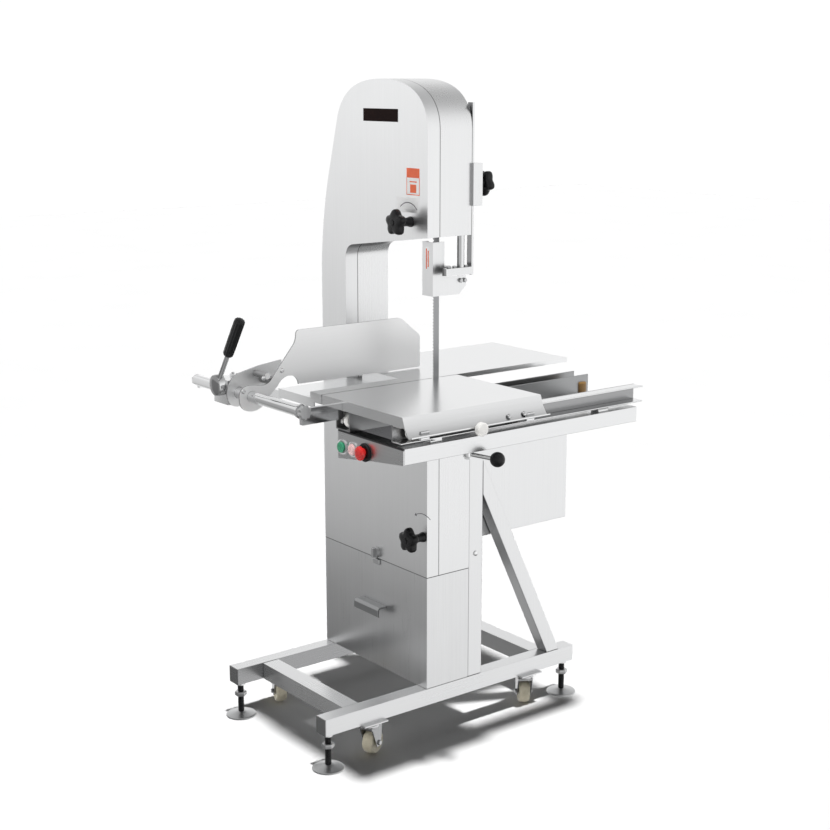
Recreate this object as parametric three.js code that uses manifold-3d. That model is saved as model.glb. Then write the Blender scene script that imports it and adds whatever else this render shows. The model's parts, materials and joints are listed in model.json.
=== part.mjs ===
// Floor-standing bone saw: a butcher's band saw on a welded tube base, with a sliding table and a fence.
// Millimetres, +X to the operator's right, +Y away from the operator, +Z up.
// The drawing's zero height is just under the floor; the last lines stand the machine on z = 0.
import * as THREE from 'three';
import { mergeVertices } from 'three/addons/utils/BufferGeometryUtils.js';
import Module from 'manifold-3d';

const wasm = await Module();
wasm.setup();

// ---- Driving dimensions -------------------------------------------------------------------------------
const GAP = 0.3;
const SHEET = 3;
const TUBE_WALL = 2.5;
const ROUND = 24;
const SMALL_ROUND = 12;
const WHEEL_ROUND = 48;

const column = { left: -452, right: 0, front: 0, split: 38, back: 137, seam: 447, bottom: 147.5 };
const head = { top: 1680, bottomLeft: 1265, bottomRight: 1305, spineRight: -343 };
const base = { front: -316, rear: 515, bottom: 103, top: 147, railWidth: 40 };
const post = { size: 46, top: 869 };
const wheel = { radius: 160, x: -220, front: 61, back: 83, upperZ: 1480, lowerZ: 640, rim: 12 };
const blade = { thickness: 1, front: 63, back: 83 };
const bladeX = wheel.x + wheel.radius + GAP + blade.thickness / 2;
const table = { top: 946, sheet: 3, front: -273, slideRight: 255, slideBack: 141, lip: 24 };
const frame = { front: -270, rear: 470, top: 873, left: 3, right: 257, tube: 38 };
const rails = { top: 921.5, bottom: 881, rear: 500, wall: 3 };
const fence = { x: -190, thickness: 4, bottom: 949, rodY: -385, rodZ: 934, rodRadius: 14 };
const footing = { x: 20, front: -295, rear: 493, padRadius: 40, floor: 8 };
const casters = { frontY: -168, rearY: 355, wheelRadius: 31, wheelWidth: 30, wheelZ: 40, trail: 14 };
// Degrees that each caster stands swivelled, anticlockwise from above.
const casterTurns = { front_left: 69, front_right: 22, rear_left: 35, rear_right: 58 };
const guard = { left: -74, right: -32, front: 42, sheet: 2.5, bottom: 1156, top: 1289 };
const tension = { y: 168, knobZ: 1335 };
const hinge = { x: -458.5, y: 41, radius: 6, lower: 620, upper: 1150 };
const housingTop = 869;
const doorKnobs = [
  { name: 'upper_door_knob', x: -66, z: 1340 },
  { name: 'lower_door_knob', x: -16, z: 552 },
];
const latch = { x: -212, z: 463.5, radius: 15 };
const motorBox = { left: -408, right: -42, front: 192, back: 516, bottom: 507, top: 790 };
const buttons = [
  { name: 'start_button', x: 22, z: 834, radius: 13, bore: 11.3, depth: 9, finish: 'green' },
  { name: 'stop_button', x: 112, z: 838, radius: 17, bore: 11.3, depth: 24, finish: 'red' },
];
// The left rail is a U that opens upwards; the right rail is a C that opens to the right.
const leftRail = { x0: -6, x1: 50 };
const rightRail = { x0: 212, x1: 247 };
const tableRollers = { left: [-246, 100], right: [-225, 90] };
const rollerZ = { left: 897.3, right: 901.3 };
const stopKnob = { y: -78, z: 900 };
const lever = { x: -286, z: 952 };

// ---- Materials ----------------------------------------------------------------------------------------
const finishes = {
  brushed: { color: 0xc4c6c8, roughness: 0.35, metalness: 0.95 },
  polished: { color: 0xdcdee0, roughness: 0.12, metalness: 1.0 },
  cast: { color: 0x9a9da0, roughness: 0.55, metalness: 0.8 },
  darkSteel: { color: 0x5c5e60, roughness: 0.4, metalness: 0.9 },
  blackPlastic: { color: 0x141414, roughness: 0.45, metalness: 0.0 },
  nylon: { color: 0xe9e4cf, roughness: 0.5, metalness: 0.0 },
  paint: { color: 0x6f7a80, roughness: 0.5, metalness: 0.3 },
  green: { color: 0x2f8f5b, roughness: 0.35, metalness: 0.0 },
  red: { color: 0xc22a2e, roughness: 0.35, metalness: 0.0 },
};

// ---- Shape helpers ------------------------------------------------------------------------------------
function solid(geometry) {
  const bare = geometry.clone();
  bare.deleteAttribute('normal');
  bare.deleteAttribute('uv');
  const merged = mergeVertices(bare, 1e-4);
  const mesh = new wasm.Mesh({
    numProp: 3,
    vertProperties: new Float32Array(merged.attributes.position.array),
    triVerts: new Uint32Array(merged.index.array),
  });
  return new wasm.Manifold(mesh);
}

function geometryOf(shape) {
  const mesh = shape.getMesh();
  const geometry = new THREE.BufferGeometry();
  geometry.setAttribute('position', new THREE.BufferAttribute(mesh.vertProperties, 3));
  geometry.setIndex(new THREE.BufferAttribute(mesh.triVerts, 1));
  return geometry;
}

function join(...shapes) {
  return shapes.reduce((whole, next) => whole.add(next));
}

function cut(shape, ...tools) {
  return tools.reduce((whole, tool) => whole.subtract(tool), shape);
}

function box(x0, x1, y0, y1, z0, z1) {
  const geometry = new THREE.BoxGeometry(x1 - x0, y1 - y0, z1 - z0);
  geometry.translate((x0 + x1) / 2, (y0 + y1) / 2, (z0 + z1) / 2);
  return solid(geometry);
}

function rodX(x0, x1, y, z, radius, sides = ROUND) {
  const geometry = new THREE.CylinderGeometry(radius, radius, x1 - x0, sides);
  geometry.rotateZ(Math.PI / 2);
  geometry.translate((x0 + x1) / 2, y, z);
  return solid(geometry);
}

function rodY(y0, y1, x, z, radius, sides = ROUND) {
  const geometry = new THREE.CylinderGeometry(radius, radius, y1 - y0, sides);
  geometry.translate(x, (y0 + y1) / 2, z);
  return solid(geometry);
}

function rodZ(z0, z1, x, y, radius, sides = ROUND) {
  const geometry = new THREE.CylinderGeometry(radius, radius, z1 - z0, sides);
  geometry.rotateX(Math.PI / 2);
  geometry.translate(x, y, (z0 + z1) / 2);
  return solid(geometry);
}

// A straight round bar between any two points.
function bar(from, to, radius, sides = SMALL_ROUND) {
  const start = new THREE.Vector3(...from);
  const end = new THREE.Vector3(...to);
  const geometry = new THREE.CylinderGeometry(radius, radius, start.distanceTo(end), sides);
  const direction = end.clone().sub(start).normalize();
  const turn = new THREE.Quaternion().setFromUnitVectors(new THREE.Vector3(0, 1, 0), direction);
  geometry.applyQuaternion(turn);
  const middle = start.add(end).multiplyScalar(0.5);
  geometry.translate(middle.x, middle.y, middle.z);
  return solid(geometry);
}

function sphere(x, y, z, radius) {
  const geometry = new THREE.SphereGeometry(radius, ROUND, SMALL_ROUND);
  geometry.translate(x, y, z);
  return solid(geometry);
}

// A profile turned about the vertical through (x, y); each point is [radius, z].
function turned(points, x, y, sides = ROUND) {
  const profile = points.map(([radius, z]) => new THREE.Vector2(radius, z));
  const geometry = new THREE.LatheGeometry(profile, sides);
  geometry.rotateX(Math.PI / 2);
  geometry.translate(x, y, 0);
  return solid(geometry);
}

function extruded(outline, depth) {
  const shape = outline instanceof THREE.Shape ? outline : new THREE.Shape(outline);
  return new THREE.ExtrudeGeometry(shape, { depth, bevelEnabled: false, curveSegments: 8 });
}

// An outline in X and Z, pushed along Y from y0 to y1.
function plateY(outline, y0, y1) {
  const geometry = extruded(outline, y1 - y0);
  geometry.rotateX(Math.PI / 2);
  geometry.translate(0, y1, 0);
  return solid(geometry);
}

// An outline in Y and Z, pushed along X from x0 to x1.
function plateX(outline, x0, x1) {
  const geometry = extruded(outline, x1 - x0);
  geometry.rotateX(Math.PI / 2);
  geometry.rotateZ(Math.PI / 2);
  geometry.translate(x0, 0, 0);
  return solid(geometry);
}

// An outline in X and Y, pushed along Z from z0 to z1.
function plateZ(outline, z0, z1) {
  const geometry = extruded(outline, z1 - z0);
  geometry.translate(0, 0, z0);
  return solid(geometry);
}

function points2(pairs) {
  return pairs.map(([a, b]) => new THREE.Vector2(a, b));
}

// The same closed outline with every side moved inwards by `depth`.
function inset(outline, distance) {
  const count = outline.length;
  const depth = THREE.ShapeUtils.isClockWise(outline) ? -distance : distance;
  return outline.map((corner, i) => {
    const before = corner.clone().sub(outline[(i + count - 1) % count]).normalize();
    const after = outline[(i + 1) % count].clone().sub(corner).normalize();
    const normal = new THREE.Vector2(-before.y - after.y, before.x + after.x).normalize();
    const cosine = normal.dot(new THREE.Vector2(-after.y, after.x));
    return corner.clone().addScaledVector(normal, depth / cosine);
  });
}

// A closed rectangular tube with one small vent hole in its underside or low face.
function boxTube(x0, x1, y0, y1, z0, z1) {
  const wall = TUBE_WALL;
  const middle = [(x0 + x1) / 2, (y0 + y1) / 2];
  const hollow = box(x0 + wall, x1 - wall, y0 + wall, y1 - wall, z0 + wall, z1 - wall);
  const vent = rodZ(z0 - 1, z0 + 2 * wall, middle[0], middle[1], 3, SMALL_ROUND);
  return cut(box(x0, x1, y0, y1, z0, z1), hollow, vent);
}

// A knob with rounded lobes, its axis along Y.
function starKnob(x, z, y0, y1, radius, lobes = 5) {
  const core = rodY(y0, y1, x, z, radius * 0.72);
  const lobeRadius = radius * 0.27;
  const reach = radius - lobeRadius;
  let knob = core;
  for (let i = 0; i < lobes; i += 1) {
    const angle = Math.PI / 2 + (i * 2 * Math.PI) / lobes;
    const lobe = rodY(y0, y1, x + reach * Math.cos(angle), z + reach * Math.sin(angle), lobeRadius, SMALL_ROUND);
    knob = knob.add(lobe);
  }
  return knob;
}

const part = new THREE.Group();

function add(name, shape, finish) {
  const mesh = new THREE.Mesh(geometryOf(shape), new THREE.MeshStandardMaterial(finishes[finish]));
  mesh.name = name;
  part.add(mesh);
}

// ---- Base ---------------------------------------------------------------------------------------------
// A rail with its threaded collars for the feet and its caster plates.
function withFittings(rail, x) {
  const { bottom, railWidth } = base;
  const half = railWidth / 2;
  const feet = [footing.front, footing.rear];
  const collars = feet.map((y) => rodZ(bottom - 8, bottom + 1, x, y, 13, SMALL_ROUND));
  const bores = feet.map((y) => rodZ(bottom - 9, bottom + 5, x, y, 8.4, SMALL_ROUND));
  const plates = [casters.frontY, casters.rearY].map((y) => {
    const plate = box(x - 32, x + 32, y - 36, y + 36, bottom - 3.5, bottom);
    const weld = box(x - half, x + half, y - 36, y + 36, bottom - 1, bottom + 0.5);
    return join(plate, weld);
  });
  return cut(join(rail, ...collars, ...plates), ...bores);
}

function addBase() {
  const { front, rear, bottom, top, railWidth } = base;
  const leftInner = column.left + railWidth;
  const rightInner = column.right - railWidth;
  const leftTube = boxTube(column.left, leftInner, front, rear, bottom, top);
  const rightTube = boxTube(rightInner, column.right, front, rear, bottom, top);
  add('base_rail_left', withFittings(leftTube, column.left + railWidth / 2), 'brushed');
  add('base_rail_right', withFittings(rightTube, column.right - railWidth / 2), 'brushed');
  const crossWidth = 48;
  const crossFront = { base_cross_front: -236, base_cross_rear: 390 };
  for (const [name, y] of Object.entries(crossFront)) {
    const cross = boxTube(leftInner + GAP, rightInner - GAP, y, y + crossWidth, bottom, top);
    add(name, cross, 'brushed');
  }
}

function addPosts() {
  const y0 = column.back + GAP;
  const y1 = y0 + post.size;
  const z0 = base.top + GAP;
  const leftPost = column.left + post.size;
  const rightPost = column.right - post.size;
  add('post_left', boxTube(column.left, leftPost, y0, y1, z0, post.top), 'brushed');
  add('post_right', boxTube(rightPost, column.right, y0, y1, z0, post.top), 'brushed');

  const outline = points2([
    [y1 + GAP, 636],
    [418, z0],
    [463, z0],
    [y1 + GAP, 728],
  ]);
  const width = base.railWidth;
  const spans = { brace_left: column.left, brace_right: column.right - width };
  for (const [name, x] of Object.entries(spans)) {
    const hollow = plateX(inset(outline, TUBE_WALL), x + TUBE_WALL, x + width - TUBE_WALL);
    const ventX = name === 'brace_left' ? x + width / 2 : x - width / 2;
    const vent = rodX(ventX, ventX + width, 310, 430, 3, SMALL_ROUND);
    add(name, cut(plateX(outline, x, x + width), hollow, vent), 'brushed');
  }

  // The beam between the posts, with two uprights that carry the fixed table.
  const beam = boxTube(leftPost + GAP, rightPost - GAP, y0, y1, post.top - 40, post.top);
  const under = table.top - table.sheet - GAP;
  const uprights = [-330, -110].map((x) => box(x, x + 8, y0 + 14, y1, post.top - 5, under));
  add('table_beam', join(beam, ...uprights), 'brushed');
}

// ---- Column: casing, door, waste bin --------------------------------------------------------------------
// The C-shaped outline of the casing and the door: head above, spine at the left, lower housing.
function columnOutline() {
  const outline = new THREE.Shape();
  outline.moveTo(column.left, column.seam + GAP);
  outline.lineTo(column.right, column.seam + GAP);
  outline.lineTo(column.right, housingTop - 30);
  outline.quadraticCurveTo(column.right, housingTop, column.right - 30, housingTop);
  outline.lineTo(head.spineRight + 20, housingTop);
  outline.quadraticCurveTo(head.spineRight, housingTop, head.spineRight, housingTop + 20);
  outline.lineTo(head.spineRight, head.bottomLeft - 40);
  outline.quadraticCurveTo(head.spineRight, head.bottomLeft - 4, head.spineRight + 36, head.bottomLeft);
  outline.lineTo(column.right, head.bottomRight);
  outline.lineTo(column.right, 1560);
  outline.bezierCurveTo(0, 1640, -70, head.top, -185, head.top);
  outline.bezierCurveTo(-270, head.top, -345, 1662, -372, 1590);
  outline.lineTo(-409, 1461);
  outline.quadraticCurveTo(-445, 1345, column.left, 1200);
  const points = outline.getPoints(12);
  return points.filter((point, i) => i === 0 || point.distanceTo(points[i - 1]) > 0.01);
}

function lockBlock() {
  const block = box(-30, 8, column.back - 1, 165, 1376, 1479);
  const slot = box(-20.6, -1.4, 139.6, 146.4, 1370, 1485);
  const screwHole = rodY(146, 166, -11, 1430, 6.3, SMALL_ROUND);
  return cut(block, slot, screwHole);
}

function addColumn() {
  const outline = columnOutline();
  const inner = inset(outline, SHEET);
  const shell = cut(plateY(outline, column.split, column.back), plateY(inner, 30, column.back - SHEET));
  const bladeSlots = box(bladeX - 14, bladeX + 24, 50, 100, housingTop - 10, housingTop + 1);
  const headSlot = box(bladeX - 14, bladeX + 24, 50, 100, 1290, 1310);
  const rodHole = rodZ(1290, 1312, -14, 115, 9.6);
  const shaftHole = rodY(130, 140, wheel.x, wheel.lowerZ, 26);
  const carriageSlot = box(wheel.x - 22, wheel.x + 22, 130, 140, 1400, 1540);
  const wasteHole = box(-400, -60, 50, 125, 440, 452);
  const gibs = [-1, 1].map((side) => {
    const x = wheel.x + side * 47;
    return box(x - 6, x + 6, 118, 135, 1395, 1545);
  });
  const shelf = box(wheel.x - 20, wheel.x + 20, column.back - 1, tension.y + 14, 1376, 1384);
  const screwBore = rodZ(1370, 1390, wheel.x, tension.y, 6.3, SMALL_ROUND);
  const lugs = [hinge.lower, hinge.upper].map((z) => {
    const eye = rodZ(z, z + 20, hinge.x, hinge.y, hinge.radius, SMALL_ROUND);
    const leaf = box(hinge.x - 1, column.left + 1, hinge.y, 70, z, z + 20);
    const pin = rodZ(z + 19, z + 46, hinge.x, hinge.y, 3, SMALL_ROUND);
    return join(eye, leaf, pin);
  });
  const casing = cut(
    join(shell, ...gibs, shelf, lockBlock(), ...lugs),
    bladeSlots,
    headSlot,
    rodHole,
    shaftHole,
    carriageSlot,
    wasteHole,
    screwBore,
  );
  add('column_casing', casing, 'brushed');

  const doorBack = column.split - GAP;
  const doorShell = cut(plateY(outline, column.front, doorBack), plateY(inner, SHEET, column.split));
  const sleeves = [hinge.lower, hinge.upper].map((z) => {
    const low = z + 20 + GAP;
    const eye = rodZ(low, low + 28, hinge.x, hinge.y, hinge.radius, SMALL_ROUND);
    const tab = box(hinge.x - 3, column.left + 1, 22, hinge.y - 4, low, low + 28);
    const bore = rodZ(low - 1, low + 29, hinge.x, hinge.y, 3.4, SMALL_ROUND);
    return cut(join(eye, tab), bore);
  });
  const stemHoles = doorKnobs.map((knob) => rodY(-1, SHEET + 1, knob.x, knob.z, 6.4, SMALL_ROUND));
  const latchHole = rodY(-1, SHEET + 1, latch.x, latch.z, 5.4, SMALL_ROUND);
  add('front_door', cut(join(doorShell, ...sleeves), ...stemHoles, latchHole), 'brushed');
}

// ---- Door knobs and the waste bin's latch -----------------------------------------------------------------
function addKnobs() {
  for (const { name, x, z } of doorKnobs) {
    const grip = starKnob(x, z, -58, -34, 33);
    const neck = rodY(-36, -GAP, x, z, 10);
    const stem = rodY(-2, 18, x, z, 6, SMALL_ROUND);
    const nut = rodY(SHEET + GAP, 9, x, z, 9, 6);
    add(name, join(grip, neck, stem, nut), 'blackPlastic');
  }
  const disc = rodY(-9, -GAP, latch.x, latch.z, latch.radius);
  const wing = box(latch.x - 4, latch.x + 4, -17, -8, latch.z - 12, latch.z + 12);
  const spindle = rodY(-2, 12, latch.x, latch.z, 5, SMALL_ROUND);
  const cam = box(latch.x - 5, latch.x + 5, 8, 12, latch.z - 5, latch.z + 12);
  add('bin_latch', join(disc, wing, spindle, cam), 'polished');
}

function addBin() {
  const { left, right, front, back, bottom, seam } = column;
  const outside = box(left, right, front, back, bottom, seam - GAP);
  const inside = box(left + SHEET, right - SHEET, front + SHEET, back - SHEET, bottom + SHEET, seam + 1);
  add('waste_bin', cut(outside, inside), 'brushed');
  const grip = points2([
    [-GAP, 297],
    [-GAP, 325],
    [-24, 325],
    [-31, 318],
    [-31, 301],
    [-25, 297],
  ]);
  const pull = plateX(grip, -276, -170);
  const recess = box(-277, -169, -25, 1, 290, 320);
  add('bin_handle', cut(pull, recess), 'brushed');
}

// ---- Saw wheels, blade and drive --------------------------------------------------------------------------
function sawWheel(z) {
  const { x, radius, front, back, rim } = wheel;
  const outer = rodY(front, back, x, z, radius, WHEEL_ROUND);
  const tyre = cut(outer, rodY(front - 1, back + 1, x, z, radius - rim, WHEEL_ROUND));
  const web = rodY(69, 76, x, z, radius - rim + 1, WHEEL_ROUND);
  const hub = rodY(front, back + 6, x, z, 30);
  const windows = [0, 1, 2, 3, 4, 5].map((i) => {
    const angle = (i * Math.PI) / 3;
    return rodY(60, 90, x + 88 * Math.cos(angle), z + 88 * Math.sin(angle), 30);
  });
  const bore = rodY(front - 1, back + 7, x, z, 12.3);
  return cut(join(tyre, cut(web, ...windows), hub), bore);
}

function addSaw() {
  const { x, radius, upperZ, lowerZ } = wheel;
  add('upper_wheel', sawWheel(upperZ), 'cast');
  add('lower_wheel', sawWheel(lowerZ), 'cast');

  const loop = (r) => {
    const outline = new THREE.Shape();
    outline.absarc(x, upperZ, r, 0, Math.PI, false);
    outline.absarc(x, lowerZ, r, Math.PI, 2 * Math.PI, false);
    return outline.getPoints(WHEEL_ROUND / 2);
  };
  const run = cut(
    plateY(loop(radius + GAP + blade.thickness), blade.front, blade.back),
    plateY(loop(radius + GAP), blade.front - 1, blade.back + 1),
  );
  add('saw_blade', run, 'polished');

  const block = box(x - 40.5, x + 40.5, 118, column.back - SHEET - GAP, upperZ - 45, upperZ + 45);
  const neck = box(x - 21, x + 21, 130, 148, upperZ - 30, upperZ + 30);
  const nutPlate = box(x - 18, x + 18, 147, tension.y + 13, upperZ - 30, upperZ + 10);
  const axle = rodY(52, 120, x, upperZ, 12);
  const collar = rodY(89 + GAP, 119, x, upperZ, 20);
  const thread = rodZ(upperZ - 40, upperZ + 20, x, tension.y, 6.3, SMALL_ROUND);
  add('wheel_carriage', cut(join(block, neck, nutPlate, axle, collar), thread), 'cast');

  const low = tension.knobZ;
  const screw = rodZ(low + 5, upperZ + 2, x, tension.y, 6, SMALL_ROUND);
  const profile = [[0, low], [22, low], [27, low + 7], [27, low + 19], [22, low + 26], [0, low + 26]];
  const grip = turned(profile, x, tension.y);
  const seat = rodZ(1384 + GAP, 1392, x, tension.y, 10, SMALL_ROUND);
  const under = rodZ(low + 25, 1376 - GAP, x, tension.y, 10, SMALL_ROUND);
  add('tension_knob', join(screw, grip, seat, under), 'blackPlastic');

  const shaft = rodY(52, 250, x, lowerZ, 12);
  const shaftCollar = rodY(89 + GAP, 110, x, lowerZ, 20);
  add('drive_shaft', join(shaft, shaftCollar), 'darkSteel');
}

function addMotor() {
  const { left, right, front, back, bottom, top } = motorBox;
  const z = wheel.lowerZ;
  const outside = box(left, right, front, back, bottom, top);
  const hollow = box(left + SHEET, right - SHEET, front + SHEET, back - SHEET, bottom + SHEET, top - SHEET);
  const opening = rodY(front - 1, front + SHEET + 1, wheel.x, z, 40);
  const vents = [0, 1, 2, 3, 4, 5, 6, 7].map((i) => {
    const low = bottom + 60 + i * 18;
    return box(-300, -140, back - SHEET - 1, back + 1, low, low + 6);
  });
  const postFace = column.back + post.size + 2 * GAP;
  const spacers = [left + 10, right - 30].map((x) => box(x, x + 20, postFace, front + 1, 530, 770));
  add('motor_housing', cut(join(outside, ...spacers), hollow, opening, ...vents), 'brushed');

  const body = rodY(225, 450, wheel.x, z, 88);
  const flange = rodY(front + SHEET + GAP, 226, wheel.x, z, 100);
  const terminal = box(wheel.x - 50, wheel.x + 50, 270, 370, z + 80, z + 120);
  const foot = box(wheel.x - 80, wheel.x + 80, 250, 430, bottom + SHEET + GAP, z - 60);
  const bore = rodY(front, 260, wheel.x, z, 14);
  add('motor', cut(join(body, flange, terminal, foot), bore), 'paint');
}

// ---- Blade guard and guide --------------------------------------------------------------------------------
function addGuard() {
  const { left, right, front, sheet, bottom, top } = guard;
  const face = box(left, right, front, front + sheet, bottom, top);
  const side = points2([
    [front, bottom],
    [126, bottom],
    [148, bottom + 22],
    [148, bottom + 46],
    [78, bottom + 46],
    [78, top],
    [front, top],
  ]);
  const returnLip = box(left, left + sheet, front, front + 18, bottom, top);
  const bolts = [129, 142].map((y) => rodX(right - 1, right + 4, y, bottom + 34, 4, SMALL_ROUND));
  const opening = box(right - 4, right + 2, 83, 99, 1209, 1225);
  const panel = cut(plateX(side, right - sheet, right), opening);
  add('blade_guard', join(face, panel, returnLip, ...bolts), 'brushed');

  const strap = box(-20, -2, 140, 146, 1206, 1624);
  const bracket = box(-17.7, -2, 60, 146, 1208, 1226);
  const rod = rodZ(1209, 1520, -14, 115, 9);
  const guide = box(left - 1, right - sheet - 2 * GAP, 62, 100, 1206, 1228);
  const slot = box(bladeX - 1.5, bladeX + 1.5, 61, 84, 1200, 1230);
  const link = box(right - 8, -10, 84, 98, 1210, 1224);
  add('guide_bar', cut(join(strap, bracket, rod, guide, link), slot), 'polished');
}

function addLockKnob() {
  const grip = starKnob(-11, 1430, 175, 199, 33);
  const neck = rodY(165 + GAP, 177, -11, 1430, 10);
  const stem = rodY(147, 170, -11, 1430, 6, SMALL_ROUND);
  add('guide_lock_knob', join(grip, neck, stem), 'blackPlastic');
}

// ---- Table frame, rails, control panel ----------------------------------------------------------------------
function addFrame() {
  const { front, rear, top, left, right, tube } = frame;
  const bottom = top - tube;
  const rightIn = right - tube;
  const leftOut = left + tube;
  const frontIn = front + SHEET + GAP;
  const rearIn = rear - tube;
  const bracketBack = column.back + post.size - 6;
  const leftTube = boxTube(left, leftOut, front + 30, rearIn - GAP, bottom, top);
  const tongue = box(column.right + GAP, left + 1, column.back + 8, bracketBack, bottom + 2, post.top - 2);
  add('frame_rail_left', join(leftTube, tongue), 'brushed');
  const openTube = box(rightIn, right, frontIn, rear, bottom, top);
  const bore = box(rightIn + TUBE_WALL, right - TUBE_WALL, front, rear + 1, bottom + TUBE_WALL, top - TUBE_WALL);
  add('frame_rail_right', cut(openTube, bore), 'brushed');
  add('frame_rail_rear', boxTube(left, rightIn - GAP, rearIn, rear, bottom, top), 'brushed');

  const face = points2([
    [left, 803],
    [right - 110, 823],
    [right, bottom],
    [right, top],
    [left, top],
  ]);
  const plate = plateY(face, front, front + SHEET);
  const flange = box(leftOut + GAP, rightIn - GAP, front, front + 36, top - SHEET, top);
  const holes = buttons.map(({ x, z, bore: r }) => rodY(front - 1, front + SHEET + 1, x, z, r, SMALL_ROUND));
  add('control_panel', cut(join(plate, flange), ...holes), 'brushed');
}

function addButtons() {
  const face = frame.front;
  const [start, stop] = buttons;
  const cap = rodY(face - start.depth, face - 4, start.x, start.z, start.radius);
  const barrel = rodY(face - 5, face + 18, start.x, start.z, 11, SMALL_ROUND);
  add(start.name, join(cap, barrel), start.finish);
  const mushroom = rodY(face - stop.depth, face - 12, stop.x, stop.z, stop.radius);
  const throat = rodY(face - 13, face + 18, stop.x, stop.z, 11, SMALL_ROUND);
  add(stop.name, join(mushroom, throat), stop.finish);
}

function addRails() {
  const { top, bottom, rear, wall } = rails;
  const { front } = frame;
  const low = frame.top + GAP;
  const left = box(leftRail.x0, leftRail.x1, front, rear, low, top);
  const trough = box(leftRail.x0 + wall, leftRail.x1 - wall, front - 1, rear + 1, low + wall, top + 1);
  add('table_rail_left', cut(left, trough), 'brushed');
  const right = box(rightRail.x0, rightRail.x1, front, rear, bottom, top);
  const mouth = box(rightRail.x0 + wall, rightRail.x1 + 1, front - 1, rear + 1, bottom + wall, top - wall);
  const pads = [-185, 345].map((y) => box(rightRail.x0 + 8, rightRail.x1, y, y + 34, low, bottom + 1));
  add('table_rail_right', join(cut(right, mouth), ...pads), 'brushed');
}

// ---- Tables ---------------------------------------------------------------------------------------------------
function addTables() {
  const { top, sheet, front, slideRight, slideBack, lip } = table;
  const low = top - sheet;
  const slideLeft = bladeX + 1.8;
  const sheetTop = box(slideLeft, slideRight + 1, front, slideBack, low, top);
  const frontLip = box(slideLeft, slideRight + 10, front, front + sheet, top - lip, top - 1);
  const frontTrim = plateY(points2([
    [slideRight, top + 1],
    [slideRight + 10.5, 921],
    [slideRight + 20, 921],
    [slideRight + 20, top + 1],
  ]), front - 1, front + sheet + 1);
  const bladeLip = box(slideLeft, slideLeft + sheet, front, slideBack, top - 12, low + 1);
  const backLip = box(slideLeft, slideRight, slideBack - sheet, slideBack, top - 10, low + 1);
  const edge = plateY(points2([
    [slideRight, top],
    [slideRight, low],
    [slideRight + 8, 922],
    [slideRight + 19, 906],
    [slideRight + 27, 898.5],
    [slideRight + 37, 903],
    [slideRight + 37, 906],
    [slideRight + 27, 901.5],
    [slideRight + 22, 906],
    [slideRight + 11, 922],
    [slideRight + 2, top],
  ]), front, slideBack);
  const hangers = tableRollers.left.map((y) => box(12, 16, y - 22, y + 22, 889, low + 1));
  const axles = tableRollers.left.map((y) => rodX(14, 39, y, rollerZ.left, 4, SMALL_ROUND));
  const pins = tableRollers.right.map((y) => rodX(222, slideRight + 24, y, rollerZ.right, 4, SMALL_ROUND));
  const straps = tableRollers.right.map((y) => box(slideRight + 14, slideRight + 24, y - 12, y + 12, 894, 912));
  const slide = cut(join(sheetTop, cut(frontLip, frontTrim), bladeLip, backLip, edge, ...hangers, ...axles,
    ...pins, ...straps), rodX(slideRight + 10, slideRight + 60, stopKnob.y, stopKnob.z, 4.4, SMALL_ROUND));
  add('sliding_table', slide, 'brushed');

  const fixedRight = bladeX - 1.8;
  const stripLeft = -108;
  const backLeft = -368;
  const behind = column.back + 8;
  const plan = points2([
    [fixedRight, front],
    [fixedRight, 528],
    [backLeft, 528],
    [backLeft, behind],
    [head.spineRight + 5, behind],
    [head.spineRight + 5, -8],
    [stripLeft, -8],
    [stripLeft, front],
  ]);
  const stepZ = top - 18;
  const plate = plateZ(plan, low, top);
  const step = box(stripLeft, stripLeft + sheet, front + 8, -5, stepZ - sheet, top);
  const shelf = box(-262, stripLeft + 1, front + 8, -5, stepZ - sheet, stepZ);
  const shelfBack = box(-262, stripLeft + sheet, -8, -5, stepZ - sheet, top);
  const shelfLip = box(-262, stripLeft + sheet, front + 8, front + 8 + sheet, stepZ - 22, stepZ - 1);
  const stripLip = box(stripLeft, fixedRight, front, front + sheet, top - lip, low + 1);
  const backEdge = box(backLeft, fixedRight, 525, 528, top - 12, low + 1);
  const rightEdge = box(fixedRight - sheet, fixedRight, 150, 528, top - 12, low + 1);
  const fixed = join(plate, step, shelf, shelfBack, shelfLip, stripLip, backEdge, rightEdge);
  add('fixed_table', fixed, 'brushed');
}

function addRollers() {
  tableRollers.left.forEach((y, i) => {
    const wheelShape = rodX(20, 36, y, rollerZ.left, 20.4);
    const bore = rodX(10, 50, y, rollerZ.left, 4.3, SMALL_ROUND);
    add(i === 0 ? 'left_roller_front' : 'left_roller_rear', cut(wheelShape, bore), 'nylon');
  });
  tableRollers.right.forEach((y, i) => {
    const wheelShape = rodX(224, 240, y, rollerZ.right, 16.6);
    const bore = rodX(210, 250, y, rollerZ.right, 4.3, SMALL_ROUND);
    add(i === 0 ? 'right_roller_front' : 'right_roller_rear', cut(wheelShape, bore), 'nylon');
  });
  const disc = rodX(table.slideRight + 38, table.slideRight + 52, stopKnob.y, stopKnob.z, 16);
  const stem = rodX(table.slideRight + 14, table.slideRight + 39, stopKnob.y, stopKnob.z, 4, SMALL_ROUND);
  add('table_stop_knob', join(disc, stem), 'nylon');
}

function addTableLever() {
  const pivot = [238, -68];
  const boss = rodZ(822, frame.top - frame.tube - GAP, pivot[0], pivot[1], 11);
  const arm = bar([pivot[0], pivot[1], 829], [282, -28, 820], 5);
  const ball = sphere(290, -21, 818, 18);
  add('table_lock_lever', join(boss, arm, ball), 'blackPlastic');
}

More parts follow.
